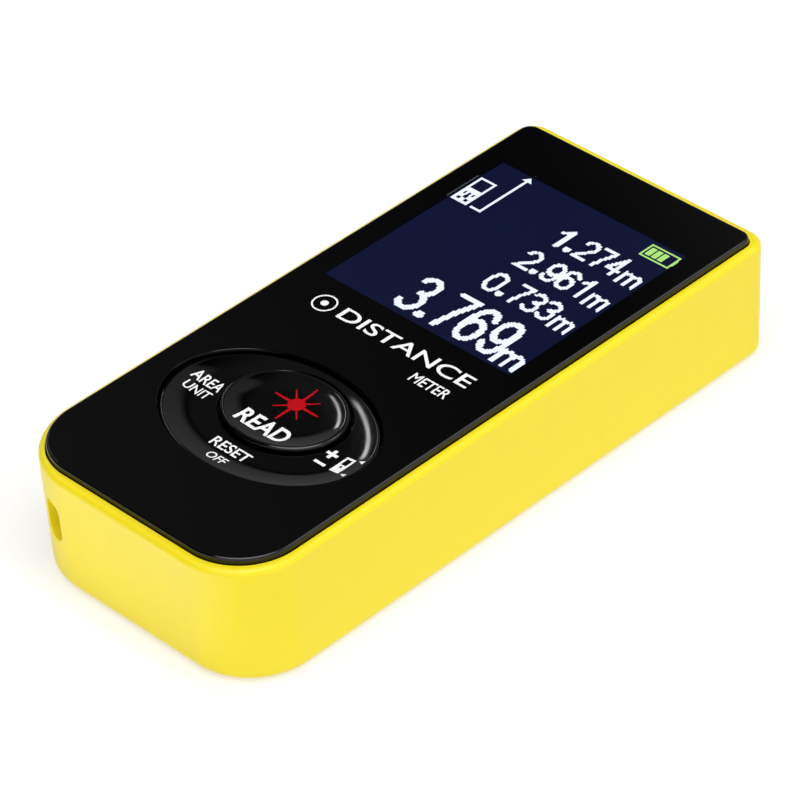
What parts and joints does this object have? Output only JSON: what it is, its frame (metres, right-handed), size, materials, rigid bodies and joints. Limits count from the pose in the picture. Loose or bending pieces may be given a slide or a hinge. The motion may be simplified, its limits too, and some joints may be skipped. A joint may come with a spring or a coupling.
{
  "type": "laser distance meter",
  "caption": "Pocket laser distance meter with a yellow shell, a glossy black front, a square display, a dished function ring and a centre measuring key.",
  "frame": {"origin": "middle of the resting face, under the centre of the body", "axes": "+Y towards the laser end, +X to the right of the display, +Z out of the front"},
  "size_m": [0.0386, 0.0877, 0.0171],
  "materials": {
    "yellow_shell": "satin moulded yellow",
    "black_gloss": "polished black",
    "clear_window": "clear polished acrylic with blackened edges",
    "black_frame": "fine matt black",
    "black_film": "printed black",
    "display_glass": "navy display glass",
    "dark_rubber": "matt",
    "yellow_rubber": "matt yellow",
    "silicone": "matt grey silicone",
    "circuit_board": "green solder mask",
    "chip_epoxy": "matt moulded epoxy",
    "white_plastic": "plain white",
    "copper_film": "amber polyimide",
    "spring_steel": "bright pressed steel",
    "steel": "zinc plated",
    "brass": "turned",
    "optical_glass": "coated optical glass",
    "red_filter": "red band filter",
    "cell_foil": "laminated foil",
    "foam": "soft grey foam",
    "label_film": "blank silver-grey film"
  },
  "bodies": {
    "case": {"rear_housing": "yellow_shell", "rear_label": "label_film", "front_lens": "clear_window", "front_mask": "black_film", "front_frame": "black_frame", "housing_seal": "dark_rubber", "keypad_membrane": "silicone", "dome_measure": "spring_steel", "dome_left": "spring_steel", "dome_right": "spring_steel", "dome_clear": "spring_steel", "display_panel": "display_glass", "display_backlight": "white_plastic", "display_frame": "black_frame", "display_flex": "copper_film", "display_connector": "white_plastic", "main_board": "circuit_board", "processor_chip": "chip_epoxy", "memory_chip": "chip_epoxy", "driver_chip": "chip_epoxy", "power_chip": "chip_epoxy", "buzzer": "chip_epoxy", "battery_connector": "white_plastic", "battery_lead": "copper_film", "battery_cell": "cell_foil", "battery_pad": "foam", "charging_socket": "steel", "optics_holder": "black_frame", "laser_diode": "brass", "collimator_barrel": "brass", "collimator_lens": "optical_glass", "receiver_lens": "optical_glass", "receiver_filter": "red_filter", "detector": "chip_epoxy", "detector_shield": "steel", "optics_bezel": "black_gloss", "receiver_window": "optical_glass", "laser_window": "optical_glass", "optics_screw_1": "steel", "optics_screw_2": "steel", "case_screw_1": "steel", "case_screw_2": "steel", "case_screw_3": "steel", "case_screw_4": "steel"},
    "pivot_ring": {"key_pivot_ring": "silicone"},
    "function_ring": {"function_key_ring": "black_gloss"},
    "measure_button": {"measure_key": "black_gloss"},
    "socket_cover": {"charging_cover": "yellow_rubber"}
  },
  "joints": [
    {"name": "measure_press", "type": "slide", "parent": "case", "child": "measure_button", "axis": [0, 0, -1], "range_m": [0, 0.0004], "stiffness_N_per_m": 3000},
    {"name": "ring_tip_sideways", "type": "hinge", "parent": "case", "child": "pivot_ring", "pos_m": [0, -0.02045, 0.0142], "axis": [0, 1, 0], "range_deg": [-1.8, 1.8], "stiffness_Nm_per_rad": 0.7},
    {"name": "ring_tip_down", "type": "hinge", "parent": "pivot_ring", "child": "function_ring", "pos_m": [0, -0.02045, 0.0142], "axis": [1, 0, 0], "range_deg": [0, 1.8], "stiffness_Nm_per_rad": 0.7},
    {"name": "cover_swing", "type": "hinge", "parent": "case", "child": "socket_cover", "pos_m": [-0.01935, 0.0001, 0.0112], "axis": [0, 0, -1], "range_deg": [0, 100]}
  ]
}
